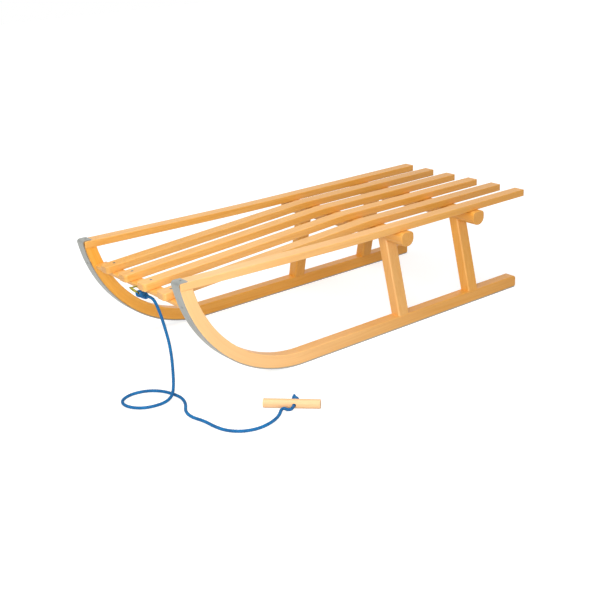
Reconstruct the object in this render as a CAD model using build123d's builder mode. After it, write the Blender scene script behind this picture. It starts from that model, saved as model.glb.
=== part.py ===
from build123d import *
import math
import os

os.makedirs("parts", exist_ok=True)

# A rigid bent-wood toboggan, in millimetres, +Z up, its front towards -Y.
# The origin is on the ground, under the middle of the sled's length and width.
# Left is the rider's left, on the +X side.

# ---------------------------------------------------------------- overall sizes
overall_length = 902.0       # front of the runner irons to the rear ends of the seat
rail_span = 378.0            # over the outer faces of the two side rails
seat_height = 223.0          # ground to the top of the seat

rear_y = overall_length / 2
front_y = -overall_length / 2
half_span = rail_span / 2

# ---------------------------------------------------------------- side rails
rail_width = 28.0
rail_thickness = 14.5
rail_knee_from_rear = 520.0  # where the rail starts to climb to the tip
rail_rise_angle = 1.22
rail_knee_radius = 8400.0
edge_round = 1.5             # softened long edges of the seat pieces
tip_round = 3.0              # upper front corner of the rail, under the iron

# ---------------------------------------------------------------- inner slats
slat_count = 4
slat_width = 29.0
slat_thickness = 14.5
slat_pitch = 70.2
slat_knee_from_rear = 398.0  # just ahead of the front bolster
slat_fall_angle = 3.5
slat_knee_radius = 425.0
slat_tip_from_front = 9.0
slat_corner_round = 7.0

# ---------------------------------------------------------------- runners and irons
runner_width = 26.0
runner_depth = 25.0
runner_rear_from_seat_rear = 20.0
runner_bend_radius = 271.0   # outer face of the iron
runner_edge_round = 2.0
runner_heel_round = 7.0
runner_heel_chamfer = 2.5
iron_thickness = 2.0
iron_width = 24.0
iron_tip_radius = 6.0        # outer radius of the fold over the rail
iron_tip_leg = 20.0          # from the very front to the end of the fold on the rail
tip_screw_from_front = 12.4

# ---------------------------------------------------------------- bolsters
bolster_length = 400.0
bolster_width = 33.0
bolster_height = 30.0
bolster_round = 15.5         # the underside is nearly a half round
bolster_top_round = 9.0
bolster_edge_round = 1.2
seat_gap = 0.4               # side clearance of a rail or slat sunk into a bolster
front_bolster_from_rear = 366.5
rear_bolster_from_rear = 158.0

# ---------------------------------------------------------------- legs
leg_width = 26.0
leg_depth = 29.0
leg_splay_angle = 13.4
leg_foot_inset = 1.0         # outer face of the foot inside the runner's outer face
leg_chamfer = 2.5
leg_seat_gap = 0.1           # between a bolster and the hollow in a leg's top
tenon_width = 12.0
tenon_depth = 18.0
tenon_reach = 14.0
tenon_gap = 0.1
tenon_end_gap = 0.8

# ---------------------------------------------------------------- front crossbar
crossbar_width = 25.0
crossbar_thickness = 7.5
crossbar_from_front = 21.0
crossbar_tenon_width = 16.0
crossbar_tenon_thickness = 4.5
crossbar_tenon_reach = 12.0

# ---------------------------------------------------------------- screws
hole_gap = 0.1
hole_end_gap = 0.5
cut_past = 1.0               # how far a cut runs past the face it opens
screw_head_angle = 82.0
bolster_screw_head = 8.0
bolster_screw_shank = 4.0
bolster_screw_length = 26.0
bolster_screw_bite = 7.0     # how far it enters a slat or a rail
bolster_bore = 9.0
strip_screw_head = 7.0
strip_screw_shank = 3.5
strip_screw_length = 16.0
tip_screw_length = 32.0
slat_screw_head = 6.0
slat_screw_shank = 3.0
slat_screw_length = 16.0
flat_screw_spacing = 190.0
flat_screw_count = 4
flat_screw_first = 30.0      # from the runner's rear end
bend_screw_angles = (35.0, 70.9)
screw_point = 2.5
recess_width = 0.9            # cross recess in each head
recess_share = 0.6           # of the head's diameter
recess_depth = 1.2

# ---------------------------------------------------------------- screw eye
eye_wire = 3.0
eye_ring_radius = 10.4       # to the middle of the wire
eye_reach = 12.4             # front of the crossbar to the top of the ring
eye_shank_depth = 17.0
eye_lean = 43.0              # the ring leans down and back under the crossbar

# ---------------------------------------------------------------- pull rope and handle
rope_diameter = 6.0
rope_ground_gap = 0.1
loop_radius = 4.9            # rope loop round the eye's ring, to the middle of the rope
loop_shift = 0.3
loop_angle = 30.0            # where it hangs on the ring, from its left side towards its bottom
wrap_radius = 4.0
wrap_pitch = 5.4             # the wraps press into each other
knot_wraps = 3
knot_x = 20.5                # middle of the eye knot, beside and under the crossbar
knot_y = -427.8
knot_z = 161.9
knot_tilt = 6.0              # its rope end points a little upwards
knot_head = 11.0
knot_tail = 13.0
handle_diameter = 17.0
handle_length = 103.0
handle_end_chamfer = 0.6
handle_x = 324.0
handle_y = -321.0
handle_turn = 44.0           # from +X towards +Y
handle_hole = 7.4
handle_hole_offset = 5.0
stopper_gap = 0.3
stopper_wraps = 2
stopper_core_gap = 0.2       # the first wrap stands this far from the core's end
tight_fold = 6.0             # one rope diameter


# ---------------------------------------------------------------- derived lines
rise = math.radians(rail_rise_angle)
fall = math.radians(slat_fall_angle)
splay = math.radians(leg_splay_angle)
rail_x = half_span - rail_width / 2
runner_x = half_span - runner_width / 2
runner_top = iron_thickness + runner_depth
runner_rear_y = rear_y - runner_rear_from_seat_rear
rail_under = seat_height - rail_thickness
slat_under = seat_height - slat_thickness
bolster_top = max(rail_under, slat_under)
bolster_under = bolster_top - bolster_height
rail_knee_y = rear_y - rail_knee_from_rear
slat_knee_y = rear_y - slat_knee_from_rear
slat_tip_y = front_y + slat_tip_from_front
bend_centre_z = runner_bend_radius
wood_outer = runner_bend_radius - iron_thickness
wood_inner = wood_outer - runner_depth


def rail_top_at(y):
    # top face of the climbing part of the rail
    return seat_height + (rail_knee_y - y) * math.tan(rise)


def rail_under_at(y):
    return rail_top_at(y) - rail_thickness / math.cos(rise)


def slat_top_at(y):
    # top face of the falling part of the slat
    return seat_height - (slat_knee_y - y) * math.tan(fall)


def slat_under_at(y):
    return slat_top_at(y) - slat_thickness / math.cos(fall)


def bend_point(centre_y, radius, angle):
    return (centre_y - radius * math.sin(angle), bend_centre_z - radius * math.cos(angle))


def cut_angle(centre_y, radius):
    # where an arc of the bend reaches the rail's underside
    angle = math.radians(75.0)
    for _ in range(30):
        y = centre_y - radius * math.sin(angle)
        angle = math.acos((bend_centre_z - rail_under_at(y)) / radius)
    return angle


def iron_fold_centre(centre_y):
    # centre of the fold at the tip, tangent to the straight tail of the bend and to the rail's top
    angle = cut_angle(centre_y, wood_outer)
    tail_y, tail_z = bend_point(centre_y, runner_bend_radius, angle)
    y = tail_y
    for _ in range(30):
        z = rail_top_at(y) + (iron_thickness - iron_tip_radius) / math.cos(rise)
        along = (z - tail_z - iron_tip_radius * math.cos(angle)) / math.sin(angle)
        y = tail_y - along * math.cos(angle) + iron_tip_radius * math.sin(angle)
    return y, z


# the bend stands where the fold's front touches the overall length
bend_centre_y = front_y + runner_bend_radius
for _ in range(10):
    fold_y, fold_z = iron_fold_centre(bend_centre_y)
    bend_centre_y += front_y - (fold_y - iron_tip_radius)

fold_y, fold_z = iron_fold_centre(bend_centre_y)
outer_cut = cut_angle(bend_centre_y, wood_outer)
inner_cut = cut_angle(bend_centre_y, wood_inner)
rail_tip_y = bend_point(bend_centre_y, wood_outer, outer_cut)[0]


def leg_axis_x(z):
    foot = half_span - leg_foot_inset - leg_width / 2
    return foot - (z - runner_top) * math.tan(splay)


leg_stations = {
    "front": rear_y - front_bolster_from_rear,
    "rear": rear_y - rear_bolster_from_rear,
}
slat_centres = [(index - (slat_count - 1) / 2) * slat_pitch for index in range(slat_count)]


def tenon_outline(sign, low, high, gap):
    # slanting tenon or mortise, seen along Y, drawn on Plane.XZ
    half = tenon_width / 2 + gap
    return [
        (sign * (leg_axis_x(low) - half), low),
        (sign * (leg_axis_x(low) + half), low),
        (sign * (leg_axis_x(high) + half), high),
        (sign * (leg_axis_x(high) - half), high),
    ]


def station_plane(y):
    return Plane(origin=(0, y, 0), x_dir=(1, 0, 0), z_dir=(0, -1, 0))


def side_plane(x):
    # local x runs along +Y, local y runs up
    return Plane(origin=(x, 0, 0), x_dir=(0, 1, 0), z_dir=(1, 0, 0))


def nearest_vertex(profile, y, z):
    # corner of a side profile, whose own x runs along +Y and whose own y runs up
    return profile.vertices().sort_by_distance((y, z, 0))[0]


# ---------------------------------------------------------------- screw planes
# each plane lies on the outer face of the fastened piece, its z pointing out of the material
def flat_iron_planes(x):
    planes = []
    for index in range(flat_screw_count):
        y = runner_rear_y - flat_screw_first - index * flat_screw_spacing
        planes.append(Plane(origin=(x, y, 0), x_dir=(1, 0, 0), z_dir=(0, 0, -1)))
    for degrees in bend_screw_angles:
        angle = math.radians(degrees)
        y, z = bend_point(bend_centre_y, runner_bend_radius, angle)
        out = (0, -math.sin(angle), -math.cos(angle))
        planes.append(Plane(origin=(x, y, z), x_dir=(1, 0, 0), z_dir=out))
    return planes


def tip_screw_plane(x):
    y = front_y + tip_screw_from_front
    z = rail_top_at(y) + iron_thickness / math.cos(rise)
    return Plane(origin=(x, y, z), x_dir=(1, 0, 0), z_dir=(0, math.sin(rise), math.cos(rise)))


crossbar_front_y = front_y + crossbar_from_front
crossbar_screw_y = crossbar_front_y + crossbar_width * math.cos(fall) / 2
crossbar_z = slat_under_at(crossbar_screw_y) - crossbar_thickness / math.cos(fall) / 2


def slat_screw_plane(x):
    z = slat_top_at(crossbar_screw_y)
    out = (0, -math.sin(fall), math.cos(fall))
    return Plane(origin=(x, crossbar_screw_y, z), x_dir=(1, 0, 0), z_dir=out)


def bolster_screw_points(y):
    # head seat of each screw driven up through a bolster
    points = [(x, y, slat_under + bolster_screw_bite - bolster_screw_length) for x in slat_centres]
    for sign in (1, -1):
        points.append((sign * rail_x, y, rail_under + bolster_screw_bite - bolster_screw_length))
    return points


def under_stations(x, z):
    # places on a seat piece's underside over the two bolsters, facing down
    return [Location((x, y, z), (180, 0, 0)) for y in leg_stations.values()]


def screw_blank(head, shank, length):
    # countersunk wood screw, its head's face on z = 0, pointing down
    cone = (head - shank) / 2 / math.tan(math.radians(screw_head_angle / 2))
    recess = head * recess_share
    with BuildPart() as blank:
        with BuildSketch(Plane.XZ):
            with BuildLine():
                Polyline(
                    (0, 0),
                    (head / 2, 0),
                    (shank / 2, -cone),
                    (shank / 2, -length + screw_point),
                    (0, -length),
                    close=True,
                )
            make_face()
        revolve(axis=Axis.Z)
        with BuildSketch(Plane.XY):
            Rectangle(recess, recess_width)
            Rectangle(recess_width, recess)
        extrude(amount=-recess_depth, mode=Mode.SUBTRACT)
    return blank.part


# ---------------------------------------------------------------- side rails
def make_rail(x):
    with BuildPart() as rail:
        with BuildSketch(side_plane(x)) as profile:
            with BuildLine():
                Polyline(
                    (rear_y, seat_height),
                    (rail_knee_y, seat_height),
                    (rail_tip_y, rail_top_at(rail_tip_y)),
                    (rail_tip_y, rail_under_at(rail_tip_y)),
                    (rail_knee_y - rail_thickness * math.tan(rise / 2), rail_under),
                    (rear_y, rail_under),
                    close=True,
                )
            make_face()
            top_knee = nearest_vertex(profile, rail_knee_y, seat_height)
            fillet(top_knee, rail_knee_radius)
            low_knee = nearest_vertex(profile, rail_knee_y, rail_under)
            fillet(low_knee, rail_knee_radius + rail_thickness)
            tip = nearest_vertex(profile, rail_tip_y, rail_top_at(rail_tip_y))
            fillet(tip, tip_round)
        extrude(amount=rail_width / 2, both=True)
        fillet(rail.faces().filter_by(Axis.X).edges(), edge_round)
        with Locations(*under_stations(x, rail_under)):
            Hole(bolster_screw_shank / 2 + hole_gap, depth=bolster_screw_bite + hole_end_gap)
        with Locations(tip_screw_plane(runner_x).location):
            Hole(strip_screw_shank / 2 + hole_gap, depth=tip_screw_length)
    return rail.part


with BuildPart() as left_side_rail:
    add(make_rail(rail_x))
with BuildPart() as right_side_rail:
    mirror(left_side_rail.part, about=Plane.YZ)


# ---------------------------------------------------------------- inner slats
def make_slat(x):
    low_tip_y = slat_tip_y + slat_thickness * math.sin(fall)
    with BuildPart() as slat:
        with BuildSketch(side_plane(x)) as profile:
            with BuildLine():
                Polyline(
                    (rear_y, seat_height),
                    (slat_knee_y, seat_height),
                    (slat_tip_y, slat_top_at(slat_tip_y)),
                    (low_tip_y, slat_under_at(low_tip_y)),
                    (slat_knee_y + slat_thickness * math.tan(fall / 2), slat_under),
                    (rear_y, slat_under),
                    close=True,
                )
            make_face()
            top_knee = nearest_vertex(profile, slat_knee_y, seat_height)
            fillet(top_knee, slat_knee_radius)
            low_knee = nearest_vertex(profile, slat_knee_y, slat_under)
            fillet(low_knee, slat_knee_radius - slat_thickness)
        extrude(amount=slat_width / 2, both=True)
        tip = slat.faces().sort_by(Axis.Y)[0]
        fillet(tip.edges().filter_by(Axis.X, reverse=True), slat_corner_round)
        fillet(slat.faces().filter_by(Axis.X).edges(), edge_round)
        with Locations(*under_stations(x, slat_under)):
            Hole(bolster_screw_shank / 2 + hole_gap, depth=bolster_screw_bite + hole_end_gap)
        with Locations(slat_screw_plane(x).location):
            CounterSinkHole(
                slat_screw_shank / 2 + hole_gap,
                slat_screw_head / 2 + hole_gap,
                depth=slat_thickness * 2,
                counter_sink_angle=screw_head_angle,
            )
    return slat.part


slats = []
for x in slat_centres:
    with BuildPart() as slat_piece:
        add(make_slat(x))
    slats.append(slat_piece)


# ---------------------------------------------------------------- runners
with BuildPart() as left_runner:
    with BuildSketch(side_plane(runner_x)) as runner_profile:
        outer_corner = bend_point(bend_centre_y, wood_outer, outer_cut)
        inner_corner = bend_point(bend_centre_y, wood_inner, inner_cut)
        with BuildLine():
            Line((runner_rear_y, iron_thickness), (bend_centre_y, iron_thickness))
            ThreePointArc(
                (bend_centre_y, iron_thickness),
                bend_point(bend_centre_y, wood_outer, outer_cut / 2),
                outer_corner,
            )
            Line(outer_corner, inner_corner)
            ThreePointArc(
                inner_corner,
                bend_point(bend_centre_y, wood_inner, inner_cut / 2),
                (bend_centre_y, runner_top),
            )
            Line((bend_centre_y, runner_top), (runner_rear_y, runner_top))
            Line((runner_rear_y, runner_top), (runner_rear_y, iron_thickness))
        make_face()
        chamfer(nearest_vertex(runner_profile, runner_rear_y, iron_thickness), runner_heel_chamfer)
        fillet(nearest_vertex(runner_profile, runner_rear_y, runner_top), runner_heel_round)
    extrude(amount=runner_width / 2, both=True)
    fillet(left_runner.faces().filter_by(Axis.X).edges(), runner_edge_round)
    mortise_floor = runner_top - tenon_reach - tenon_end_gap
    for station in leg_stations.values():
        with BuildSketch(station_plane(station)):
            with BuildLine():
                Polyline(*tenon_outline(1, mortise_floor, runner_top + cut_past, tenon_gap), close=True)
            make_face()
        extrude(amount=tenon_depth / 2 + tenon_gap, both=True, mode=Mode.SUBTRACT)
    with BuildSketch(side_plane(half_span - runner_width)):
        with Locations(Location((crossbar_screw_y, crossbar_z), slat_fall_angle)):
            Rectangle(crossbar_tenon_width + 2 * tenon_gap, crossbar_tenon_thickness + 2 * tenon_gap)
    extrude(amount=crossbar_tenon_reach + tenon_end_gap, mode=Mode.SUBTRACT)
    with Locations(*[plane.location for plane in flat_iron_planes(runner_x)]):
        Hole(strip_screw_shank / 2 + hole_gap, depth=strip_screw_length + hole_end_gap)
    with Locations(tip_screw_plane(runner_x).location):
        Hole(strip_screw_shank / 2 + hole_gap, depth=tip_screw_length + hole_end_gap)

with BuildPart() as right_runner:
    mirror(left_runner.part, about=Plane.YZ)


# ---------------------------------------------------------------- runner irons
def iron_points(depth):
    # corner points of the strip at one depth under its outer face
    low = (runner_rear_y - runner_heel_chamfer, depth)
    start = (bend_centre_y, depth)
    middle = bend_point(bend_centre_y, runner_bend_radius - depth, outer_cut / 2)
    tail = bend_point(bend_centre_y, runner_bend_radius - depth, outer_cut)
    radius = iron_tip_radius - depth
    fold_in = (fold_y - radius * math.sin(outer_cut), fold_z - radius * math.cos(outer_cut))
    half_turn = (math.pi - outer_cut + rise) / 2
    mid_angle = outer_cut + half_turn
    fold_mid = (fold_y - radius * math.sin(mid_angle), fold_z - radius * math.cos(mid_angle))
    fold_out = (fold_y + radius * math.sin(rise), fold_z + radius * math.cos(rise))
    leg_y = front_y + iron_tip_leg
    leg_end = (leg_y, rail_top_at(leg_y) + (iron_thickness - depth) / math.cos(rise))
    return low, start, middle, tail, fold_in, fold_mid, fold_out, leg_end


with BuildPart() as left_runner_iron:
    with BuildSketch(side_plane(runner_x)):
        outer = iron_points(0)
        inner = iron_points(iron_thickness)
        with BuildLine():
            for path in (outer, inner):
                Line(path[0], path[1])
                ThreePointArc(path[1], path[2], path[3])
                Line(path[3], path[4])
                ThreePointArc(path[4], path[5], path[6])
                Line(path[6], path[7])
            Line(outer[0], inner[0])
            Line(outer[7], inner[7])
        make_face()
    extrude(amount=iron_width / 2, both=True)
    with Locations(*[plane.location for plane in flat_iron_planes(runner_x)]):
        CounterSinkHole(
            strip_screw_shank / 2 + hole_gap,
            strip_screw_head / 2 + hole_gap,
            depth=iron_thickness * 2,
            counter_sink_angle=screw_head_angle,
        )
    with Locations(tip_screw_plane(runner_x).location):
        CounterSinkHole(
            strip_screw_shank / 2 + hole_gap,
            strip_screw_head / 2 + hole_gap,
            depth=iron_thickness * 2,
            counter_sink_angle=screw_head_angle,
        )

with BuildPart() as right_runner_iron:
    mirror(left_runner_iron.part, about=Plane.YZ)


# ---------------------------------------------------------------- bolsters
def deeper_seats():
    # the rails and slats that reach below the bolster's top, where one kind is thicker than the other
    seats = [(x, slat_width, slat_under) for x in slat_centres]
    seats += [(sign * rail_x, rail_width, rail_under) for sign in (1, -1)]
    return [seat for seat in seats if seat[2] < bolster_top]


def bolster_section(station, gap=0.0):
    # cross-section of a bolster, or of the hollow that fits it
    with BuildSketch(Plane.YZ) as section:
        with Locations((station, bolster_under + bolster_height / 2)):
            Rectangle(bolster_width + 2 * gap, bolster_height + 2 * gap)
            fillet(section.vertices().sort_by(Axis.Y)[:2], bolster_round + gap)
            fillet(section.vertices().sort_by(Axis.Y)[-2:], bolster_top_round + gap)
    return section.sketch


def make_bolster(station):
    mortise_mouth = bolster_under - cut_past
    mortise_roof = bolster_under + tenon_reach + tenon_end_gap
    with BuildPart() as bolster:
        extrude(bolster_section(station), amount=bolster_length / 2, both=True)
        for x, width, seat in deeper_seats():
            with BuildSketch(Plane.XY.offset(seat)):
                with Locations((x, station)):
                    Rectangle(width + 2 * seat_gap, bolster_width + 2 * cut_past)
            extrude(amount=bolster_top - seat + cut_past, mode=Mode.SUBTRACT)
        fillet(bolster.faces().sort_by(Axis.X)[0].edges(), bolster_edge_round)
        fillet(bolster.faces().sort_by(Axis.X)[-1].edges(), bolster_edge_round)
        for sign in (1, -1):
            with BuildSketch(station_plane(station)):
                with BuildLine():
                    Polyline(*tenon_outline(sign, mortise_mouth, mortise_roof, tenon_gap), close=True)
                make_face()
            extrude(amount=tenon_depth / 2 + tenon_gap, both=True, mode=Mode.SUBTRACT)
        for x, y, z in bolster_screw_points(station):
            with Locations(Location((x, y, bolster_under), (180, 0, 0))):
                CounterBoreHole(
                    bolster_screw_shank / 2 + hole_gap,
                    bolster_bore / 2,
                    z - bolster_under,
                    depth=bolster_height + cut_past,
                )
    return bolster.part


with BuildPart() as front_bolster:
    add(make_bolster(leg_stations["front"]))
with BuildPart() as rear_bolster:
    add(make_bolster(leg_stations["rear"]))


# ---------------------------------------------------------------- legs
def make_leg(sign, station):
    tenon_low = runner_top - tenon_reach
    tenon_high = bolster_under + tenon_reach
    top = bolster_under + bolster_height / 2
    with BuildPart() as leg:
        with BuildSketch(station_plane(station)):
            with BuildLine():
                foot = leg_axis_x(runner_top)
                head = leg_axis_x(top)
                Polyline(
                    (sign * (foot - leg_width / 2), runner_top),
                    (sign * (foot + leg_width / 2), runner_top),
                    (sign * (head + leg_width / 2), top),
                    (sign * (head - leg_width / 2), top),
                    close=True,
                )
            make_face()
        extrude(amount=leg_depth / 2, both=True)
        chamfer(leg.edges().sort_by(SortBy.LENGTH)[-4:], leg_chamfer)
        hollow = bolster_section(station, leg_seat_gap)
        extrude(hollow, amount=bolster_length / 2, both=True, mode=Mode.SUBTRACT)
        with BuildSketch(station_plane(station)):
            with BuildLine():
                Polyline(*tenon_outline(sign, tenon_low, tenon_high, 0), close=True)
            make_face()
        extrude(amount=tenon_depth / 2, both=True)
    return leg.part


with BuildPart() as front_left_leg:
    add(make_leg(1, leg_stations["front"]))
with BuildPart() as front_right_leg:
    add(make_leg(-1, leg_stations["front"]))
with BuildPart() as rear_left_leg:
    add(make_leg(1, leg_stations["rear"]))
with BuildPart() as rear_right_leg:
    add(make_leg(-1, leg_stations["rear"]))


# ---------------------------------------------------------------- front crossbar
crossbar_half = half_span - runner_width
eye_z = slat_under_at(crossbar_front_y) - crossbar_thickness / 2

with BuildPart() as front_crossbar:
    with BuildSketch(Plane.YZ):
        with Locations(Location((crossbar_screw_y, crossbar_z), slat_fall_angle)):
            Rectangle(crossbar_width, crossbar_thickness)
    extrude(amount=crossbar_half, both=True)
    fillet(front_crossbar.faces().sort_by(Axis.Y)[0].edges().filter_by(Axis.X), edge_round)
    with BuildSketch(Plane.YZ):
        with Locations(Location((crossbar_screw_y, crossbar_z), slat_fall_angle)):
            Rectangle(crossbar_tenon_width, crossbar_tenon_thickness)
    extrude(amount=crossbar_half + crossbar_tenon_reach, both=True)
    for x in slat_centres:
        with Locations(slat_screw_plane(x).location):
            Hole(slat_screw_shank / 2 + hole_gap, depth=slat_screw_length + hole_end_gap)
    eye_entry = Plane(origin=(0, crossbar_front_y, eye_z), x_dir=(1, 0, 0), z_dir=(0, -1, 0))
    with Locations(eye_entry.location):
        Hole(eye_wire / 2 + hole_gap, depth=eye_shank_depth + hole_end_gap)


# ---------------------------------------------------------------- screws
bolster_screw = screw_blank(bolster_screw_head, bolster_screw_shank, bolster_screw_length)
strip_screw = screw_blank(strip_screw_head, strip_screw_shank, strip_screw_length)
tip_screw = screw_blank(strip_screw_head, strip_screw_shank, tip_screw_length)
slat_screw = screw_blank(slat_screw_head, slat_screw_shank, slat_screw_length)

head_slope = math.tan(math.radians(screw_head_angle / 2))
bolster_screw_cone = (bolster_screw_head - bolster_screw_shank) / 2 / head_slope
with BuildPart() as bolster_screws:
    for station in leg_stations.values():
        for x, y, z in bolster_screw_points(station):
            with Locations(Location((x, y, z - bolster_screw_cone), (180, 0, 0))):
                add(bolster_screw)

with BuildPart() as runner_iron_screws:
    for sign in (1, -1):
        for plane in flat_iron_planes(sign * runner_x):
            with Locations(plane.location):
                add(strip_screw)

with BuildPart() as runner_tip_screws:
    for sign in (1, -1):
        with Locations(tip_screw_plane(sign * runner_x).location):
            add(tip_screw)

with BuildPart() as slat_tip_screws:
    for x in slat_centres:
        with Locations(slat_screw_plane(x).location):
            add(slat_screw)


# ---------------------------------------------------------------- screw eye
lean = math.radians(eye_lean)
ring_top = (0, crossbar_front_y - eye_reach, eye_z)
ring_centre = (
    0,
    ring_top[1] + eye_ring_radius * math.sin(lean),
    ring_top[2] - eye_ring_radius * math.cos(lean),
)
ring_plane = Plane(origin=ring_centre, x_dir=(1, 0, 0), z_dir=(0, math.cos(lean), math.sin(lean)))

with BuildPart() as screw_eye:
    with BuildSketch(Plane(origin=ring_top, x_dir=(1, 0, 0), z_dir=(0, 1, 0))):
        Circle(eye_wire / 2)
    extrude(amount=eye_reach + eye_shank_depth)
    down_the_ring = (0, math.sin(lean), -math.cos(lean))
    with BuildSketch(Plane(origin=ring_centre, x_dir=(1, 0, 0), z_dir=down_the_ring)):
        with Locations((eye_ring_radius, 0)):
            Circle(eye_wire / 2)
    revolve(axis=Axis(ring_centre, tuple(ring_plane.z_dir)))


# ---------------------------------------------------------------- rope, knots and handle
rope_radius = rope_diameter / 2
ground_z = rope_radius + rope_ground_gap
turn = math.radians(handle_turn)
handle_z = handle_diameter / 2
tilt = math.radians(knot_tilt)


def along_knot(distance):
    # a point on the eye knot's axis, from its middle towards the rope
    return (knot_x + distance * math.cos(tilt), knot_y, knot_z + distance * math.sin(tilt))


def by_handle(along, out, z):
    # a point beside the handle: along its axis from the middle, and out from the axis to the front
    return (
        handle_x + along * math.cos(turn) + out * math.sin(turn),
        handle_y + along * math.sin(turn) - out * math.cos(turn),
        z,
    )


hole_mouth = handle_diameter / 2
stopper_face = -(hole_mouth + stopper_gap)

rope_route = [
    along_knot(knot_tail),
    along_knot(28.0),
    (69.0, -432.5, 164.0),
    (85.0, -433.5, 147.0),
    (100.5, -435.0, 122.0),
    (113.0, -436.0, 95.0),
    (120.5, -438.0, 69.0),
    (125.5, -441.0, 43.0),
    (132.0, -446.0, 21.0),
    (143.0, -456.0, 8.0),
    (151.0, -472.0, ground_z),
    (154.0, -495.0, ground_z),
    (145.0, -523.0, ground_z),
    (119.0, -540.0, ground_z),
    (92.0, -536.0, ground_z),
    (79.0, -511.0, ground_z),
    (84.0, -481.0, ground_z),
    (104.0, -459.0, ground_z),
    (131.0, -449.0, ground_z),
    (160.0, -446.0, ground_z),
    (187.0, -456.0, ground_z),
    (209.0, -472.0, ground_z),
    (236.0, -476.0, ground_z),
    (264.0, -467.5, ground_z),
    (292.0, -466.5, ground_z),
    (319.0, -460.5, ground_z),
    (341.0, -443.0, ground_z),
    (352.0, -417.0, ground_z),
    (350.0, -388.0, ground_z),
    (338.5, -361.0, ground_z),
    by_handle(-17.0, 14.5, 4.6),
    by_handle(-10.0, 14.5, 6.0),
    by_handle(-5.5, 23.0, 7.4),
    by_handle(handle_hole_offset, 23.0, handle_z),
    by_handle(handle_hole_offset, stopper_face, handle_z),
]


def bend_radii(points):
    radii = []
    for before, here, after in zip(points, points[1:], points[2:]):
        first = Vector(*here) - Vector(*before)
        second = Vector(*after) - Vector(*here)
        half = math.radians(first.get_angle(second)) / 2
        shorter = min(first.length, second.length)
        radii.append(round(0.45 * shorter / math.tan(half), 1))
    return radii


rope_radii = bend_radii(rope_route)
rope_radii[-1] = tight_fold
rope_radii[-2] = tight_fold
rope_radii[-3] = tight_fold
rope_radii[-4] = tight_fold
print("rope bend radii", rope_radii)

with BuildPart() as pull_rope:
    with BuildLine():
        rope_line = FilletPolyline(*rope_route, radius=rope_radii)
    with BuildSketch(Plane(origin=rope_line @ 0, z_dir=rope_line % 0)):
        Circle(rope_radius)
    sweep(path=rope_line)

rope_length = rope_line.length
rope_section = math.pi * rope_radius ** 2
print("rope length", round(rope_length, 1))
print("rope volume over section x length", round(pull_rope.part.volume / (rope_section * rope_length), 4))

hang = math.radians(loop_angle)
ring_point = (
    eye_ring_radius * math.cos(hang),
    ring_centre[1] + eye_ring_radius * math.sin(hang) * math.sin(lean),
    ring_centre[2] - eye_ring_radius * math.sin(hang) * math.cos(lean),
)
down_y = math.sin(lean)
down_z = -math.cos(lean)
wire_direction = Vector(-math.sin(hang), math.cos(hang) * down_y, math.cos(hang) * down_z)
loop_direction = Vector(math.cos(hang), math.sin(hang) * down_y, math.sin(hang) * down_z)
loop_centre = Vector(*ring_point) + loop_direction * loop_shift
loop_normal = wire_direction.cross(loop_direction)

with BuildPart() as eye_knot:
    with BuildSketch(Plane(origin=loop_centre, x_dir=loop_direction, z_dir=loop_normal)):
        with Locations((loop_radius, 0)):
            Circle(rope_radius)
    revolve(axis=Axis(loop_centre, wire_direction))
    knot_run = (math.cos(tilt), 0, math.sin(tilt))
    knot_plane = Plane(origin=(knot_x, knot_y, knot_z), x_dir=knot_run, z_dir=(0, -1, 0))
    with BuildSketch(knot_plane):
        for index in range(knot_wraps):
            with Locations(((index - (knot_wraps - 1) / 2) * wrap_pitch, wrap_radius)):
                Circle(rope_radius)
    revolve(axis=Axis(knot_plane.origin, knot_plane.x_dir))
    with BuildSketch(Plane(origin=along_knot(-knot_head), z_dir=knot_plane.x_dir)):
        Circle(rope_radius)
    extrude(amount=knot_head + knot_tail)

with BuildPart() as pull_handle:
    handle_plane = Plane(
        origin=by_handle(0, 0, handle_z),
        x_dir=(math.sin(turn), -math.cos(turn), 0),
        z_dir=(math.cos(turn), math.sin(turn), 0),
    )
    with BuildSketch(handle_plane):
        Circle(handle_diameter / 2)
    extrude(amount=handle_length / 2, both=True)
    chamfer(pull_handle.edges().filter_by(GeomType.CIRCLE), handle_end_chamfer)
    out = (math.sin(turn), -math.cos(turn), 0)
    with Locations(Plane(origin=by_handle(handle_hole_offset, hole_mouth, handle_z), z_dir=out).location):
        Hole(handle_hole / 2, depth=handle_diameter + cut_past)

with BuildPart() as handle_knot:
    stopper_plane = Plane(
        origin=by_handle(handle_hole_offset, stopper_face, handle_z),
        x_dir=(-math.sin(turn), math.cos(turn), 0),
        z_dir=(math.cos(turn), math.sin(turn), 0),
    )
    with BuildSketch(stopper_plane):
        for index in range(stopper_wraps):
            with Locations((rope_radius + stopper_core_gap + index * wrap_pitch, wrap_radius)):
                Circle(rope_radius)
    revolve(axis=Axis(stopper_plane.origin, stopper_plane.x_dir))
    with BuildSketch(Plane(origin=stopper_plane.origin, z_dir=stopper_plane.x_dir)):
        Circle(rope_radius)
    extrude(amount=rope_radius * 2 + stopper_wraps * wrap_pitch)


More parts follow.
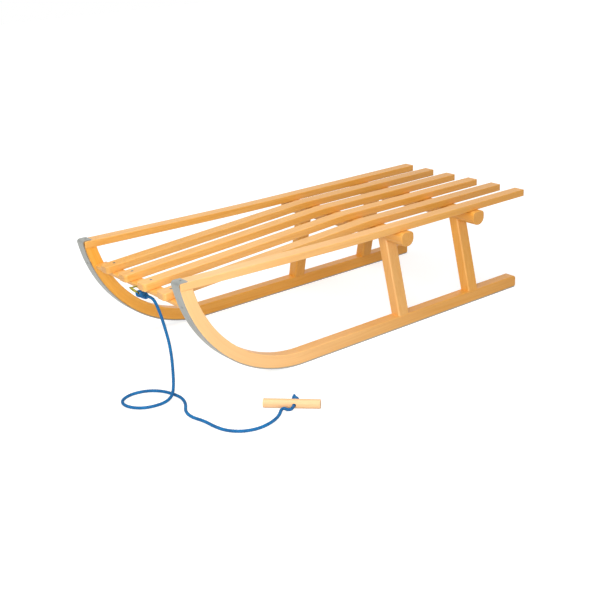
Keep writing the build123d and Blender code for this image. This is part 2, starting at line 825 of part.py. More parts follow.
# ---------------------------------------------------------------- labels and files
slat_names = ("outer_right_slat", "inner_right_slat", "inner_left_slat", "outer_left_slat")
pieces = {
    "left_side_rail": left_side_rail,
    "right_side_rail": right_side_rail,
    "left_runner": left_runner,
    "right_runner": right_runner,
    "left_runner_iron": left_runner_iron,
    "right_runner_iron": right_runner_iron,
    "front_bolster": front_bolster,
    "rear_bolster": rear_bolster,
    "front_left_leg": front_left_leg,
    "front_right_leg": front_right_leg,
    "rear_left_leg": rear_left_leg,
    "rear_right_leg": rear_right_leg,
    "front_crossbar": front_crossbar,
    "bolster_screws": bolster_screws,
    "runner_iron_screws": runner_iron_screws,
    "runner_tip_screws": runner_tip_screws,
    "slat_tip_screws": slat_tip_screws,
    "screw_eye": screw_eye,
    "pull_rope": pull_rope,
    "eye_knot": eye_knot,
    "pull_handle": pull_handle,
    "handle_knot": handle_knot,
}
for slat_name, slat_piece in zip(slat_names, slats):
    pieces[slat_name] = slat_piece

for node, piece in pieces.items():
    piece.part.label = node
    export_step(piece.part, f"parts/{node}.step")
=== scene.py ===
import math
from collections import namedtuple

import bpy
import numpy as np
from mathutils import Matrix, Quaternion, Vector


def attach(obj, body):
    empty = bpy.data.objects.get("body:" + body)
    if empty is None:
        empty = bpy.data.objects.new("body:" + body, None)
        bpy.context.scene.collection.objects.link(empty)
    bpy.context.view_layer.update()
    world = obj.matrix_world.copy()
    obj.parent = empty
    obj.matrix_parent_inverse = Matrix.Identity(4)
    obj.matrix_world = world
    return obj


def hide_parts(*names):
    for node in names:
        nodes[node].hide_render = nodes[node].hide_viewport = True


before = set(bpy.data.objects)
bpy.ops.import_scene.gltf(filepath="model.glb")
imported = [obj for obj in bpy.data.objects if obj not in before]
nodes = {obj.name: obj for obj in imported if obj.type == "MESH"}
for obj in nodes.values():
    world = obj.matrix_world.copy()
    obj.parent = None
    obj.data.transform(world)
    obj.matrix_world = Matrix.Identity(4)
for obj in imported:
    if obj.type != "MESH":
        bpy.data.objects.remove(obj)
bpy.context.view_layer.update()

scene = bpy.context.scene

# A bent-wood toboggan on a white studio floor, in metres. Front is -Y, the rider's left is +X.


def add_object(name, data):
    """A new object in the scene."""
    made = bpy.data.objects.new(name, data)
    scene.collection.objects.link(made)
    return made


def facing(place, target):
    """The rotation that points a camera or a lamp from one place to another."""
    return (Vector(target) - Vector(place)).to_track_quat("-Z", "Y")


# ---------------------------------------------------------------- camera
CAMERA_AT = (1.6747, -1.3278, 0.8348)
CAMERA_AIM = (0.0, -0.0434, 0.0437)
CAMERA_ROLL = math.radians(-2.71)
CAMERA_LENS = 63.2
CAMERA_NEAR = 0.05
CAMERA_FAR = 60.0


def add_camera():
    data = bpy.data.cameras.new("camera")
    data.lens = CAMERA_LENS
    data.clip_start = CAMERA_NEAR
    data.clip_end = CAMERA_FAR
    camera = add_object("camera", data)
    camera.location = CAMERA_AT
    camera.rotation_mode = "QUATERNION"
    camera.rotation_quaternion = facing(CAMERA_AT, CAMERA_AIM) @ Quaternion((0, 0, 1), CAMERA_ROLL)
    scene.camera = camera


add_camera()


# ---------------------------------------------------------------- node helpers
class Shader:
    """A material's node tree with short calls. A value is a number, a colour or another node's output."""

    def __init__(self, name):
        self.material = bpy.data.materials.new(name)
        self.material.use_nodes = True
        self.tree = self.material.node_tree
        self.bsdf = self.tree.nodes["Principled BSDF"]
        self.output = self.tree.nodes["Material Output"]

    def node(self, kind, **settings):
        made = self.tree.nodes.new(kind)
        for key, value in settings.items():
            setattr(made, key, value)
        return made

    def link(self, source, target):
        self.tree.links.new(source, target)

    def put(self, socket, value):
        """Links a node's output, or sets a plain value on the socket itself."""
        if isinstance(value, bpy.types.NodeSocket):
            self.link(value, socket)
        else:
            socket.default_value = value

    def surface(self, name, value):
        """Gives the surface one of its own inputs."""
        self.put(self.bsdf.inputs[name], value)

    def coordinates(self, kind="Object"):
        return self.node("ShaderNodeTexCoord").outputs[kind]

    def split(self, vector):
        made = self.node("ShaderNodeSeparateXYZ")
        self.put(made.inputs[0], vector)
        return tuple(made.outputs)

    def combine(self, x, y, z):
        made = self.node("ShaderNodeCombineXYZ")
        for socket, value in zip(made.inputs, (x, y, z)):
            self.put(socket, value)
        return made.outputs[0]

    def grey(self, value):
        return self.combine(value, value, value)

    def math(self, operation, first, second=0.0):
        made = self.node("ShaderNodeMath", operation=operation)
        self.put(made.inputs[0], first)
        self.put(made.inputs[1], second)
        return made.outputs[0]

    def noise(self, vector, scale, detail=3.0, roughness=0.6, distortion=0.0):
        made = self.node("ShaderNodeTexNoise")
        self.put(made.inputs["Vector"], vector)
        self.put(made.inputs["Scale"], scale)
        self.put(made.inputs["Detail"], detail)
        self.put(made.inputs["Roughness"], roughness)
        self.put(made.inputs["Distortion"], distortion)
        return made.outputs[0]

    def span(self, value, low, high, start=0.0, end=1.0):
        """Runs from start to end as the value runs from low to high, and no further."""
        made = self.node("ShaderNodeMapRange", clamp=True)
        self.put(made.inputs["Value"], value)
        self.put(made.inputs["From Min"], low)
        self.put(made.inputs["From Max"], high)
        self.put(made.inputs["To Min"], start)
        self.put(made.inputs["To Max"], end)
        return made.outputs[0]

    def blend(self, factor, first, second, mode="MIX"):
        """A mix of two colours, on the Mix node's colour sockets."""
        made = self.node("ShaderNodeMix", data_type="RGBA", blend_type=mode)
        self.put(made.inputs[0], factor)
        self.put(made.inputs[6], first)
        self.put(made.inputs[7], second)
        return made.outputs[2]

    def shade(self, colour, factor):
        """A colour made lighter or darker by a factor."""
        return self.blend(1.0, colour, self.grey(factor), "MULTIPLY")

    def bump(self, height, strength, distance):
        """Raises the surface by a height."""
        made = self.node("ShaderNodeBump")
        self.put(made.inputs["Height"], height)
        self.put(made.inputs["Strength"], strength)
        self.put(made.inputs["Distance"], distance)
        self.surface("Normal", made.outputs[0])


def srgb(red, green, blue):
    """A linear colour from screen values of 0 to 255."""
    def channel(value):
        value /= 255.0
        return value / 12.92 if value <= 0.04045 else ((value + 0.055) / 1.055) ** 2.4
    return (channel(red), channel(green), channel(blue), 1.0)


def dress(node, material):
    """Gives a CAD node one material."""
    data = nodes[node].data
    data.materials.clear()
    data.materials.append(material)


# ---------------------------------------------------------------- wood
# The runner's grain follows its underside: flat behind the bend's centre, round it ahead.
BEND_CENTRE_Y = -0.18349
BEND_CENTRE_Z = 0.271
BEND_RADIUS = 0.269
# The handle lies turned by this angle from +X.
HANDLE_TURN = math.radians(44.0)

# A timber's last two colours are painted light and painted shade: a paler and a deeper copy of the wood's
# colour that stand in for strong light at the sled's front and weaker light at its rear.
Timber = namedtuple("Timber", "light mid dark fleck end sapwood heartwood")
BEECH = Timber(
    light=srgb(238, 176, 84),
    mid=srgb(232, 166, 68),
    dark=srgb(206, 133, 40),
    fleck=srgb(170, 98, 24),
    end=srgb(210, 140, 50),
    sapwood=srgb(250, 204, 150),
    heartwood=srgb(226, 152, 34),
)
# Painted shade: a deeper, more saturated copy of the beech colours for the far runner and far legs, which
# lie in shade.
PAINTED_SHADE_BEECH = Timber(
    light=srgb(246, 178, 66),
    mid=srgb(240, 168, 50),
    dark=srgb(212, 134, 30),
    fleck=srgb(172, 98, 18),
    end=srgb(214, 140, 40),
    sapwood=srgb(250, 196, 110),
    heartwood=srgb(236, 158, 36),
)
# Painted light: a paler copy of the beech colours for the pull handle, which lies in strong light in front
# of the sled.
PAINTED_LIGHT_BEECH = Timber(
    light=srgb(238, 192, 142),
    mid=srgb(234, 185, 133),
    dark=srgb(222, 168, 112),
    fleck=srgb(196, 138, 84),
    end=srgb(214, 160, 106),
    sapwood=srgb(238, 192, 142),
    heartwood=srgb(234, 185, 133),
)

# How often each pattern repeats across and along the grain, per metre.
RINGS = (70.0, 2.2)
STREAKS = (900.0, 14.0)
FLECKS = (2300.0, 330.0)
CLOUDS = (16.0, 3.0)
PORES = (1500.0, 1500.0)
RING_WAVES = 34.0
# How much of a piece's shift goes across the grain, in its two directions.
SHIFT_ACROSS, SHIFT_OTHER = 0.37, 0.61
# How strongly the dark wood, the flecks and the end grain show.
STREAK_SHARE = 0.34
FLECK_SHARE = 0.32
END_SHARE = 0.28
# A face is end grain where its normal lies this near to the grain.
END_GRAIN_FROM, END_GRAIN_FULL = 0.9, 0.985
# Painted light and shade: each piece is paler towards the front of the sled, where the light is stronger,
# and deeper towards its rear, where it is weaker, between these places in Y.
PAINTED_LIGHT_FRONT, PAINTED_LIGHT_REAR = -0.35, 0.2
PAINTED_SHADE_FRONT, PAINTED_SHADE_REAR = -0.1, 0.4
PAINTED_SHADE_SHARE = 0.5
LACQUER = 0.55
LACQUER_ROUGHNESS = 0.3
WOOD_ROUGHNESS = 0.6
GRAIN_BUMP = 0.16
GRAIN_DEPTH = 0.0004


def handle_grain(shader, x, y, z):
    cosine, sine = math.cos(HANDLE_TURN), math.sin(HANDLE_TURN)
    along = shader.math("ADD", shader.math("MULTIPLY", x, cosine), shader.math("MULTIPLY", y, sine))
    across = shader.math("SUBTRACT", shader.math("MULTIPLY", y, cosine), shader.math("MULTIPLY", x, sine))
    return across, z, along


def bend_grain(shader, x, y, z):
    away = shader.math("SUBTRACT", y, BEND_CENTRE_Y)
    ahead = shader.math("MINIMUM", away, 0.0)
    down = shader.math("SUBTRACT", BEND_CENTRE_Z, z)
    squares = shader.math("ADD", shader.math("MULTIPLY", ahead, ahead), shader.math("MULTIPLY", down, down))
    depth = shader.math("SUBTRACT", BEND_RADIUS, shader.math("SQRT", squares))
    angle = shader.math("ARCTAN2", shader.math("MULTIPLY", ahead, -1.0), down)
    straight = shader.math("MAXIMUM", away, 0.0)
    along = shader.math("SUBTRACT", straight, shader.math("MULTIPLY", angle, BEND_RADIUS))
    return x, depth, along


def grain_coordinates(shader, run):
    """(across, across, along) the grain, in metres. It runs along x, y or z, the handle or the bend."""
    x, y, z = shader.split(shader.coordinates())
    if run == "handle":
        return handle_grain(shader, x, y, z)
    if run == "bend":
        return bend_grain(shader, x, y, z)
    axes = {"x": x, "y": y, "z": z}
    along = axes.pop(run)
    return (*axes.values(), along)


def end_grain(shader, run):
    """How far a face is cut across the grain, from 0 to 1."""
    normal = shader.split(shader.coordinates("Normal"))
    along = normal["xyz".index(run)]
    return shader.span(shader.math("ABSOLUTE", along), END_GRAIN_FROM, END_GRAIN_FULL)


def wood(name, run, shift, tone=1.0, lacquer=LACQUER, timber=BEECH, sapwood=0.0):
    """Lacquered timber. The shift moves the grain, so that no two pieces look cut from the same place."""
    shader = Shader(name)
    across, other, along = grain_coordinates(shader, run)
    along = shader.math("ADD", along, shift)
    across = shader.math("ADD", across, shift * SHIFT_ACROSS)
    other = shader.math("ADD", other, shift * SHIFT_OTHER)

    def pattern(scales, detail, roughness=0.5, distortion=0.0):
        scale_across, scale_along = scales
        stretched = shader.combine(
            shader.math("MULTIPLY", across, scale_across),
            shader.math("MULTIPLY", other, scale_across),
            shader.math("MULTIPLY", along, scale_along),
        )
        return shader.noise(stretched, 1.0, detail, roughness, distortion)

    rings = pattern(RINGS, 2.0, distortion=0.6)
    bands = shader.span(shader.math("SINE", shader.math("MULTIPLY", rings, RING_WAVES)), -1.0, 1.0)
    streaks = pattern(STREAKS, 4.0, roughness=0.6)
    flecks = pattern(FLECKS, 1.0)
    clouds = pattern(CLOUDS, 2.0)

    colour = shader.blend(shader.span(bands, 0.15, 0.95), timber.light, timber.mid)
    colour = shader.blend(shader.span(streaks, 0.46, 0.78, 0.0, STREAK_SHARE), colour, timber.dark)
    colour = shader.blend(shader.span(flecks, 0.67, 0.75, 0.0, FLECK_SHARE), colour, timber.fleck)
    if run in ("x", "y", "z"):
        ends = shader.blend(shader.span(pattern(PORES, 2.0), 0.4, 0.66), timber.end, timber.dark)
        colour = shader.blend(shader.math("MULTIPLY", end_grain(shader, run), END_SHARE), colour, ends)
    # Painted shade deepens the colour towards the rear and painted light pales it towards the front, in
    # place of the light falling off along the sled.
    length = shader.split(shader.coordinates())[1]
    deeper = shader.span(length, PAINTED_SHADE_FRONT, PAINTED_SHADE_REAR, 0.0, PAINTED_SHADE_SHARE)
    colour = shader.blend(deeper, colour, timber.heartwood)
    paler = shader.span(length, PAINTED_LIGHT_FRONT, PAINTED_LIGHT_REAR, sapwood, 0.0)
    colour = shader.blend(paler, colour, timber.sapwood)
    cloudy = shader.span(clouds, 0.3, 0.7, 0.95, 1.04)
    colour = shader.shade(colour, shader.math("MULTIPLY", cloudy, tone))

    shader.surface("Base Color", colour)
    rough = shader.span(streaks, 0.3, 0.7, WOOD_ROUGHNESS - 0.05, WOOD_ROUGHNESS + 0.08)
    shader.surface("Roughness", rough)
    shader.surface("Coat Weight", lacquer)
    shader.surface("Coat Roughness", LACQUER_ROUGHNESS)
    height = shader.math("ADD", shader.math("MULTIPLY", streaks, 0.7), shader.math("MULTIPLY", flecks, 0.3))
    shader.bump(height, GRAIN_BUMP, GRAIN_DEPTH)
    return shader.material


# The way the grain runs in each wooden piece of the sled.
WOOD_RUNS = {
    "left_side_rail": "y",
    "right_side_rail": "y",
    "outer_left_slat": "y",
    "inner_left_slat": "y",
    "inner_right_slat": "y",
    "outer_right_slat": "y",
    "left_runner": "bend",
    "right_runner": "bend",
    "front_bolster": "x",
    "rear_bolster": "x",
    "front_crossbar": "x",
    "front_left_leg": "z",
    "front_right_leg": "z",
    "rear_left_leg": "z",
    "rear_right_leg": "z",
}
# How strongly painted light pales the front of each piece, strongest on the near side where the key light
# falls, and the far pieces that get painted shade.
PAINTED_LIGHT_SHARES = {
    "left_side_rail": 0.45,
    "left_runner": 0.6,
    "front_left_leg": 0.9,
    "inner_left_slat": 0.15,
    "outer_left_slat": 0.2,
}
LEAST_PAINTED_LIGHT = 0.05
PAINTED_SHADE_PIECES = ("right_runner", "front_right_leg", "rear_right_leg")
GRAIN_SHIFT = 0.731
HANDLE_SHIFT = 9.3
# Neighbouring pieces differ a little in tone.
TONES = (1.0, 0.97, 0.94)


def dress_wood():
    for index, (node, run) in enumerate(WOOD_RUNS.items()):
        shift = GRAIN_SHIFT * (index + 1)
        tone = TONES[index % len(TONES)]
        timber = PAINTED_SHADE_BEECH if node in PAINTED_SHADE_PIECES else BEECH
        sapwood = PAINTED_LIGHT_SHARES.get(node, LEAST_PAINTED_LIGHT)
        dress(node, wood("beech_" + node, run, shift, tone, timber=timber, sapwood=sapwood))
    dress("pull_handle", wood("beech_handle", "handle", HANDLE_SHIFT, lacquer=0.0, timber=PAINTED_LIGHT_BEECH))


dress_wood()

# ---------------------------------------------------------------- metal
METALLIC = 0.9
PATCH_SCALE = 45.0
SPANGLE_SCALE = 700.0
SCRATCH_SCALE = 1600.0
SCRATCH_DEPTH = 0.00008


def metal(name, colour, roughness, scratches):
    """Zinc-plated steel: dull patches, small crystals and fine scratches."""
    shader = Shader(name)
    place = shader.coordinates()
    patches = shader.noise(place, PATCH_SCALE)
    spangle = shader.node("ShaderNodeTexVoronoi")
    shader.put(spangle.inputs["Vector"], place)
    shader.put(spangle.inputs["Scale"], SPANGLE_SCALE)
    fine = shader.noise(place, SCRATCH_SCALE, 2.0)
    sparkle = shader.span(spangle.outputs["Distance"], 0.0, 1.0, -0.03, 0.05)
    tint = shader.math("ADD", shader.span(patches, 0.3, 0.7, 0.86, 1.04), sparkle)
    shader.surface("Base Color", shader.shade(colour, tint))
    shader.surface("Metallic", METALLIC)
    dull = shader.span(patches, 0.3, 0.7, roughness - 0.06, roughness + 0.1)
    shader.surface("Roughness", shader.math("ADD", dull, shader.span(fine, 0.35, 0.65, 0.0, 0.06)))
    shader.bump(fine, scratches, SCRATCH_DEPTH)
    return shader.material


def dress_metal():
    zinc_strip = metal("zinc_strip", srgb(163, 165, 160), roughness=0.45, scratches=0.3)
    zinc_screws = metal("zinc_screws", srgb(150, 152, 148), roughness=0.36, scratches=0.15)
    yellow_zinc = metal("yellow_zinc", srgb(150, 142, 52), roughness=0.36, scratches=0.15)
    for node in ("left_runner_iron", "right_runner_iron"):
        dress(node, zinc_strip)
    for node in ("bolster_screws", "runner_iron_screws", "runner_tip_screws", "slat_tip_screws"):
        dress(node, zinc_screws)
    dress("screw_eye", yellow_zinc)


dress_metal()

# ---------------------------------------------------------------- pull rope
ROPE_RADIUS = 0.003
# The height of the rope's middle where it lies on the ground.
GROUND_Z = 0.0031
# The handle lies on the ground; its cross hole is off its middle.
HANDLE_X = 0.324
HANDLE_Y = -0.321
HANDLE_RADIUS = 0.0085
HANDLE_Z = HANDLE_RADIUS
HOLE_OFFSET = 0.005
# The knot at the eye: its middle, its tilt from +X, and how far along it the rope starts and leads out.
KNOT = Vector((0.0205, -0.4278, 0.1619))
KNOT_TILT = math.radians(6.0)
KNOT_TAIL = 0.013
KNOT_LEAD = 0.028

knot_axis = Vector((math.cos(KNOT_TILT), 0.0, math.sin(KNOT_TILT)))
handle_along = Vector((math.cos(HANDLE_TURN), math.sin(HANDLE_TURN), 0.0))
handle_out = Vector((math.sin(HANDLE_TURN), -math.cos(HANDLE_TURN), 0.0))


def by_handle(along, out, z):
    """A point beside the handle: along it, out in front of it, and above the ground."""
    spot = Vector((HANDLE_X, HANDLE_Y, 0.0)) + handle_along * along + handle_out * out
    return (spot.x, spot.y, z)


# From the knot down to the ground, round one flat loop, and through the handle.
rope_route = [
    tuple(KNOT + knot_axis * KNOT_TAIL),
    tuple(KNOT + knot_axis * KNOT_LEAD),
    (0.069, -0.4325, 0.164),
    (0.085, -0.4335, 0.147),
    (0.1005, -0.435, 0.122),
    (0.113, -0.436, 0.095),
    (0.1205, -0.438, 0.069),
    (0.1255, -0.441, 0.043),
    (0.132, -0.446, 0.021),
    (0.143, -0.456, 0.008),
    (0.151, -0.472, GROUND_Z),
    (0.154, -0.495, GROUND_Z),
    (0.145, -0.523, GROUND_Z),
    (0.119, -0.540, GROUND_Z),
    (0.092, -0.536, GROUND_Z),
    (0.079, -0.511, GROUND_Z),
    (0.084, -0.481, GROUND_Z),
    (0.104, -0.459, GROUND_Z),
    (0.131, -0.449, GROUND_Z),
    (0.160, -0.446, GROUND_Z),
    (0.187, -0.456, GROUND_Z),
    (0.209, -0.472, GROUND_Z),
    (0.236, -0.476, GROUND_Z),
    (0.264, -0.4675, GROUND_Z),
    (0.292, -0.4665, GROUND_Z),
    (0.319, -0.4605, GROUND_Z),
    (0.341, -0.443, GROUND_Z),
    (0.352, -0.417, GROUND_Z),
    (0.350, -0.388, GROUND_Z),
    (0.3385, -0.361, GROUND_Z),
    by_handle(-0.017, 0.0145, 0.0046),
    by_handle(-0.010, 0.0145, 0.006),
    by_handle(-0.0055, 0.023, 0.0074),
    by_handle(HOLE_OFFSET, 0.023, HANDLE_Z),
    by_handle(HOLE_OFFSET, -0.0088, HANDLE_Z),
]

CURVE_STEPS = 16
BEVEL_STEPS = 4


def nurbs(name, points, radius, material):
    """A round rope on one smooth open spline with those control points."""
    data = bpy.data.curves.new(name, "CURVE")
    data.dimensions = "3D"
    data.resolution_u = CURVE_STEPS
    spline = data.splines.new("NURBS")
    spline.points.add(len(points) - 1)
    for control, place in zip(spline.points, points):
        control.co = (*place, 1.0)
    spline.order_u = 3
    spline.use_endpoint_u = True
    data.bevel_depth = radius
    data.bevel_resolution = BEVEL_STEPS
    data.materials.append(material)
    return add_object(name, data)


def centreline(curve):
    """The points of a curve's own line, in order."""
    data = curve.data.copy()
    data.bevel_depth = 0.0
    bare = add_object("bare_line", data)
    line = bpy.data.meshes.new_from_object(bare)
    points = np.array([tuple(vertex.co) for vertex in line.vertices])
    bpy.data.meshes.remove(line)
    bpy.data.objects.remove(bare)
    bpy.data.curves.remove(data)
    return points


def lengths(vectors):
    """The length of each row."""
    return np.linalg.norm(vectors, axis=1)


def unit(vectors):
    """Each row at a length of 1."""
    return vectors / lengths(vectors)[:, None]


# A tubular braid: flat yarns wind both ways round the rope and cross over and under each other.
YARNS_EACH_WAY = 8
BRAID_PITCH = 0.030
BRAID_STEP = 0.0011
BRAID_PROUD = 0.0001
YARN_HALF_WIDTH = 0.00105
YARN_HALF_THICKNESS = 0.00042
YARN_SIDES = 6
FEWEST_POINTS = 8
SAME_POINT = 1e-9


def even_points(points, step):
    """The same line with evenly spaced points, and how far along it each one is."""
    apart = lengths(np.diff(points, axis=0)) > SAME_POINT
    points = points[np.concatenate(([True], apart))]
    reach = np.concatenate(([0.0], np.cumsum(lengths(np.diff(points, axis=0)))))
    count = max(FEWEST_POINTS, int(round(reach[-1] / step)) + 1)
    even_reach = np.linspace(0.0, reach[-1], count)
    line = np.stack([np.interp(even_reach, reach, points[:, axis]) for axis in range(3)], axis=1)
    return line, even_reach


def side_directions(line):
    """Two directions square to the line at each point, carried along it without twisting."""
    tangents = unit(np.gradient(line, axis=0))
    side = np.cross(tangents[0], (0.0, 0.0, 1.0))
    if np.linalg.norm(side) < 0.1:
        side = np.cross(tangents[0], (0.0, 1.0, 0.0))
    sides = []
    for tangent in tangents:
        side = side - tangent * np.dot(side, tangent)
        side = side / np.linalg.norm(side)
        sides.append(side)
    sides = np.array(sides)
    return sides, np.cross(tangents, sides)


def yarn_edges(line, reach, directions, middle, way, start):
    """The paths of one yarn's edges. It winds one way round the line from a start in turns."""
    sides, ups = directions
    turn = 2 * math.pi * (way * reach / BRAID_PITCH + start)
    lift = way * np.cos(2 * math.pi * reach * YARNS_EACH_WAY / BRAID_PITCH)
    away = np.cos(turn)[:, None] * sides + np.sin(turn)[:, None] * ups
    centre = line + away * (middle + YARN_HALF_THICKNESS * lift)[:, None]
    across = unit(np.cross(unit(np.gradient(centre, axis=0)), away))
    edges = []
    for corner in range(YARN_SIDES):
        angle = 2 * math.pi * corner / YARN_SIDES
        sideways = across * (YARN_HALF_WIDTH * math.cos(angle))
        edges.append(centre + sideways + away * (YARN_HALF_THICKNESS * math.sin(angle)))
    return edges


def yarn_faces(first, count):
    """The sides and the two ends of a yarn whose edges have that many points each, from that first one."""
    faces = []
    for corner in range(YARN_SIDES):
        here = first + corner * count
        beside = first + (corner + 1) % YARN_SIDES * count
        faces.extend((here + k, here + k + 1, beside + k + 1, beside + k) for k in range(count - 1))
    start = [first + corner * count for corner in range(YARN_SIDES)]
    faces.append(start[::-1])
    faces.append([corner + count - 1 for corner in start])
    return faces


def braid(name, curve, radius, material):
    """The braid of that outer radius round a curve's line."""
    line, reach = even_points(centreline(curve), BRAID_STEP)
    directions = side_directions(line)
    middle = radius - YARN_HALF_THICKNESS * 2
    vertices, faces = [], []
    for way in (1, -1):
        for yarn in range(YARNS_EACH_WAY):
            faces.extend(yarn_faces(len(vertices), len(line)))
            for edge in yarn_edges(line, reach, directions, middle, way, yarn / YARNS_EACH_WAY):
                vertices.extend(map(tuple, edge))
    mesh = bpy.data.meshes.new(name)
    mesh.from_pydata(vertices, [], faces)
    mesh.polygons.foreach_set("use_smooth", [True] * len(mesh.polygons))
    mesh.validate()
    mesh.materials.append(material)
    return add_object(name, mesh)


FADE_SCALE = 60.0
FIBRE_SCALE = 5200.0
FIBRE_SHARE = 0.45
FIBRE_BLUE = srgb(40, 134, 196)


def rope_material(name, colour, deep):
    """Braided cord: lighter and deeper stretches, and pale fibres on top."""
    shader = Shader(name)
    place = shader.coordinates()
    fade = shader.noise(place, FADE_SCALE)
    fibres = shader.noise(place, FIBRE_SCALE, 2.0, 0.7)
    tone = shader.blend(shader.span(fade, 0.3, 0.7), deep, colour)
    tone = shader.blend(shader.span(fibres, 0.5, 0.8, 0.0, FIBRE_SHARE), tone, FIBRE_BLUE)
    shader.surface("Base Color", tone)
    shader.surface("Roughness", 0.5)
    shader.surface("Specular IOR Level", 0.25)
    shader.surface("Sheen Weight", 0.06)
    shader.surface("Sheen Roughness", 0.4)
    shader.bump(fibres, 0.5, 0.0001)
    return shader.material


rope_blue = rope_material("rope_blue", srgb(4, 110, 168), srgb(2, 82, 136))
rope_core_blue = rope_material("rope_core_blue", srgb(8, 66, 122), srgb(5, 48, 96))

rope = nurbs("pull_rope_core", rope_route, ROPE_RADIUS - YARN_HALF_THICKNESS, rope_core_blue)
rope_braid = braid("pull_rope_braid", rope, ROPE_RADIUS + BRAID_PROUD, rope_blue)
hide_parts("pull_rope")
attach(rope, "root")
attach(rope_braid, "root")

rope_length = float(np.sum(lengths(np.diff(centreline(rope), axis=0))))

# ---------------------------------------------------------------- knots
KNOT_CORE_RADIUS = 0.0024
KNOT_ROPE_RADIUS = 0.0028
POINTS_A_TURN = 8
# The eye's ring, to the middle of its wire, leans back. The rope loops round it at an angle from +X.
RING_RADIUS = 0.0104
RING_LEAN = math.radians(43.0)
RING_CENTRE = Vector((0.0, -0.43531, 0.16758))
LOOP_ANGLE = math.radians(30.0)
LOOP_RADIUS = 0.0049
LOOP_POINTS = 9
LOOP_POINTS_A_TURN = 7.92
LOOP_START = 50 / 360
LOOP_SPREAD = 0.0009
LOOP_OFFSET = 0.0006
EYE_WRAP_POINTS = 26
EYE_WRAP_RADIUS = 0.0044
EYE_WRAP_PITCH = 0.0050
STOPPER_WRAP_POINTS = 18
STOPPER_WRAP_RADIUS = 0.0041
STOPPER_WRAP_PITCH = 0.0042
STOPPER_GAP = 0.0003

leftward = Vector((1.0, 0.0, 0.0))
upward = Vector((0.0, 0.0, 1.0))
ring_down = Vector((0.0, math.sin(RING_LEAN), -math.cos(RING_LEAN)))
loop_away = leftward * math.cos(LOOP_ANGLE) + ring_down * math.sin(LOOP_ANGLE)
wire_along = ring_down * math.cos(LOOP_ANGLE) - leftward * math.sin(LOOP_ANGLE)
loop_side = wire_along.cross(loop_away)
loop_middle = RING_CENTRE + loop_away * (RING_RADIUS + LOOP_OFFSET)
knot_up = Vector((-math.sin(KNOT_TILT), 0.0, math.cos(KNOT_TILT)))
knot_side = knot_axis.cross(knot_up)
hole_end = Vector(by_handle(HOLE_OFFSET, -HANDLE_RADIUS - STOPPER_GAP, HANDLE_Z))


def around(radius, turns, first, second):
    """A step away from an axis, turned round it from the first direction towards the second."""
    angle = 2 * math.pi * turns
    return (first * math.cos(angle) + second * math.sin(angle)) * radius


def at_knot(along, radius, turns):
    return KNOT + knot_axis * along + around(radius, turns, knot_up, knot_side)


def at_stopper(along, radius, turns):
    return hole_end - handle_out * along + around(radius, turns, upward, handle_along)


def eye_knot_points():
    """From the rope's start back through the knot, round the eye's ring, and three wraps to the tail."""
    points = [at_knot(0.0135, 0.0, 0.0), at_knot(0.004, 0.0003, 0.0), at_knot(-0.005, 0.0006, 0.25)]
    for step in range(LOOP_POINTS):
        round_wire = around(LOOP_RADIUS, LOOP_START - step / LOOP_POINTS_A_TURN, loop_away, loop_side)
        points.append(loop_middle + round_wire + wire_along * (LOOP_SPREAD * (step / 4 - 1)))
    for step in range(EYE_WRAP_POINTS):
        turns = step / POINTS_A_TURN
        points.append(at_knot(-0.0072 + EYE_WRAP_PITCH * turns, EYE_WRAP_RADIUS, 0.55 + turns))
    points.extend((
        at_knot(0.0102, 0.0058, 4.0),
        at_knot(0.0130, 0.0074, 4.12),
        at_knot(0.0165, 0.0086, 4.18),
    ))
    return [tuple(point) for point in points]


def stopper_points():
    """Out of the handle's hole, two wraps back over itself, and a short tail."""
    points = [at_stopper(-0.001, 0.0, 0.0), at_stopper(0.005, 0.0003, 0.0), at_stopper(0.0115, 0.0012, 0.1)]
    for step in range(STOPPER_WRAP_POINTS):
        turns = step / POINTS_A_TURN
        points.append(at_stopper(0.0108 - STOPPER_WRAP_PITCH * turns, STOPPER_WRAP_RADIUS, 0.3 + turns))
    points.extend((
        at_stopper(0.0060, 0.0052, 2.70),
        at_stopper(0.0105, 0.0062, 2.84),
        at_stopper(0.0160, 0.0055, 2.90),
    ))
    return [tuple(point) for point in points]


knot_core = nurbs("eye_knot_rope", eye_knot_points(), KNOT_CORE_RADIUS, rope_core_blue)
knot_braid = braid("eye_knot_braid", knot_core, KNOT_ROPE_RADIUS, rope_blue)
stop_core = nurbs("handle_knot_rope", stopper_points(), KNOT_CORE_RADIUS, rope_core_blue)
stop_braid = braid("handle_knot_braid", stop_core, KNOT_ROPE_RADIUS, rope_blue)
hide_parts("eye_knot")
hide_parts("handle_knot")
for piece in (knot_core, knot_braid, stop_core, stop_braid):
    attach(piece, "root")

# ---------------------------------------------------------------- studio
WHITE = (1.0, 1.0, 1.0, 1.0)
FLOOR_HALF = 7.0
FLOOR_GREYS = (0.55, 0.57)
FLOOR_CLOUDS = 1.5
# The floor's glow, over the light that falls on it, is weaker near the sled than further out.
GLOW_NEAR, GLOW_FAR = 0.7, 1.7
GLOW_STRENGTHS = (0.68, 1.0)
WORLD_STRENGTH = 0.36

Lamp = namedtuple("Lamp", "name place target size power")
LAMPS = (
    Lamp("key", place=(1.5, -1.5, 1.0), target=(0.0, -0.3, 0.1), size=(1.1, 0.9), power=24.5),
    Lamp("top", place=(0.1, -0.5, 2.0), target=(0.0, -0.2, 0.0), size=(1.6, 1.4), power=22.0),
    Lamp("kicker", place=(1.1, -1.0, 0.45), target=(0.19, -0.3, 0.15), size=(0.5, 0.4), power=3.8),
)


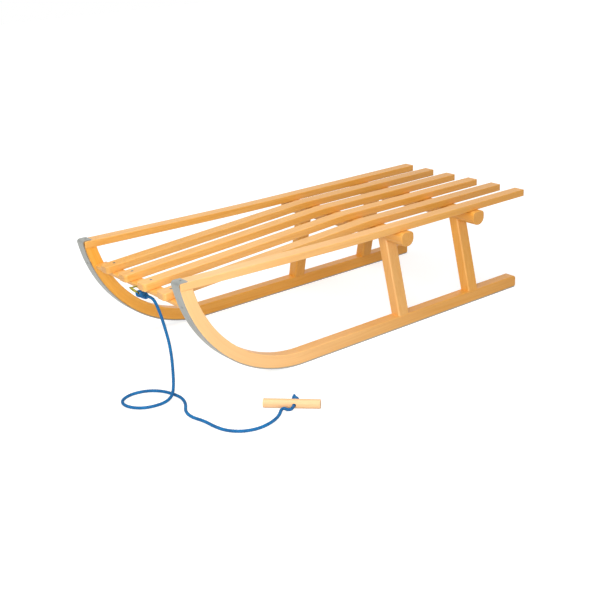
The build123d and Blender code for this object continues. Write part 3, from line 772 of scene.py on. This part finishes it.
def seen_directly(tree):
    """1 for the rays that see the white ground: from the camera, a mirror or through glass; otherwise 0."""
    rays = tree.nodes.new("ShaderNodeLightPath")
    total = rays.outputs["Is Camera Ray"]
    for name in ("Is Glossy Ray", "Is Transmission Ray"):
        either = tree.nodes.new("ShaderNodeMath")
        either.operation = "MAXIMUM"
        tree.links.new(total, either.inputs[0])
        tree.links.new(rays.outputs[name], either.inputs[1])
        total = either.outputs[0]
    return total


def pick_shader(tree, unseen, seen):
    """The second shader for the rays that see the ground directly, the first for all others."""
    mix = tree.nodes.new("ShaderNodeMixShader")
    tree.links.new(seen_directly(tree), mix.inputs[0])
    tree.links.new(unseen.outputs[0], mix.inputs[1])
    tree.links.new(seen.outputs[0], mix.inputs[2])
    return mix.outputs[0]


def floor_material():
    """A dull pale sheet that looks white where it is seen directly, and keeps the sled's shadow."""
    shader = Shader("floor_white")
    place = shader.coordinates()
    haze = shader.span(shader.noise(place, FLOOR_CLOUDS, 2.0, 0.5), 0.0, 1.0, *FLOOR_GREYS)
    shader.surface("Base Color", shader.grey(haze))
    shader.surface("Roughness", 0.9)
    shader.surface("Specular IOR Level", 0.1)
    reach = shader.node("ShaderNodeVectorMath", operation="LENGTH")
    shader.put(reach.inputs[0], place)
    glow = shader.node("ShaderNodeEmission")
    shader.put(glow.inputs["Color"], WHITE)
    strength = shader.span(reach.outputs["Value"], GLOW_NEAR, GLOW_FAR, *GLOW_STRENGTHS)
    shader.put(glow.inputs["Strength"], strength)
    dark = shader.node("ShaderNodeEmission")
    shader.put(dark.inputs["Strength"], 0.0)
    total = shader.node("ShaderNodeAddShader")
    shader.link(shader.bsdf.outputs[0], total.inputs[0])
    shader.link(pick_shader(shader.tree, dark, glow), total.inputs[1])
    shader.link(total.outputs[0], shader.output.inputs["Surface"])
    return shader.material


def add_floor():
    mesh = bpy.data.meshes.new("floor")
    corners = [(x * FLOOR_HALF, y * FLOOR_HALF, 0.0) for x, y in ((-1, -1), (1, -1), (1, 1), (-1, 1))]
    mesh.from_pydata(corners, [], [(0, 1, 2, 3)])
    mesh.materials.append(floor_material())
    floor = add_object("floor", mesh)


def add_world():
    """Plain white light from all round, and a white ground behind everything."""
    world = bpy.data.worlds.new("studio")
    world.use_nodes = True
    scene.world = world
    tree = world.node_tree
    light = tree.nodes["Background"]
    light.inputs["Color"].default_value = WHITE
    light.inputs["Strength"].default_value = WORLD_STRENGTH
    ground = tree.nodes.new("ShaderNodeBackground")
    ground.inputs["Color"].default_value = WHITE
    ground.inputs["Strength"].default_value = 1.0
    tree.links.new(pick_shader(tree, light, ground), tree.nodes["World Output"].inputs["Surface"])


def add_lamp(lamp):
    data = bpy.data.lights.new(lamp.name, "AREA")
    data.shape = "RECTANGLE"
    data.size, data.size_y = lamp.size
    data.energy = lamp.power
    made = add_object(lamp.name, data)
    made.location = lamp.place
    made.rotation_mode = "QUATERNION"
    made.rotation_quaternion = facing(lamp.place, lamp.target)


add_floor()
add_world()
for lamp in LAMPS:
    add_lamp(lamp)

scene.view_settings.view_transform = "Standard"
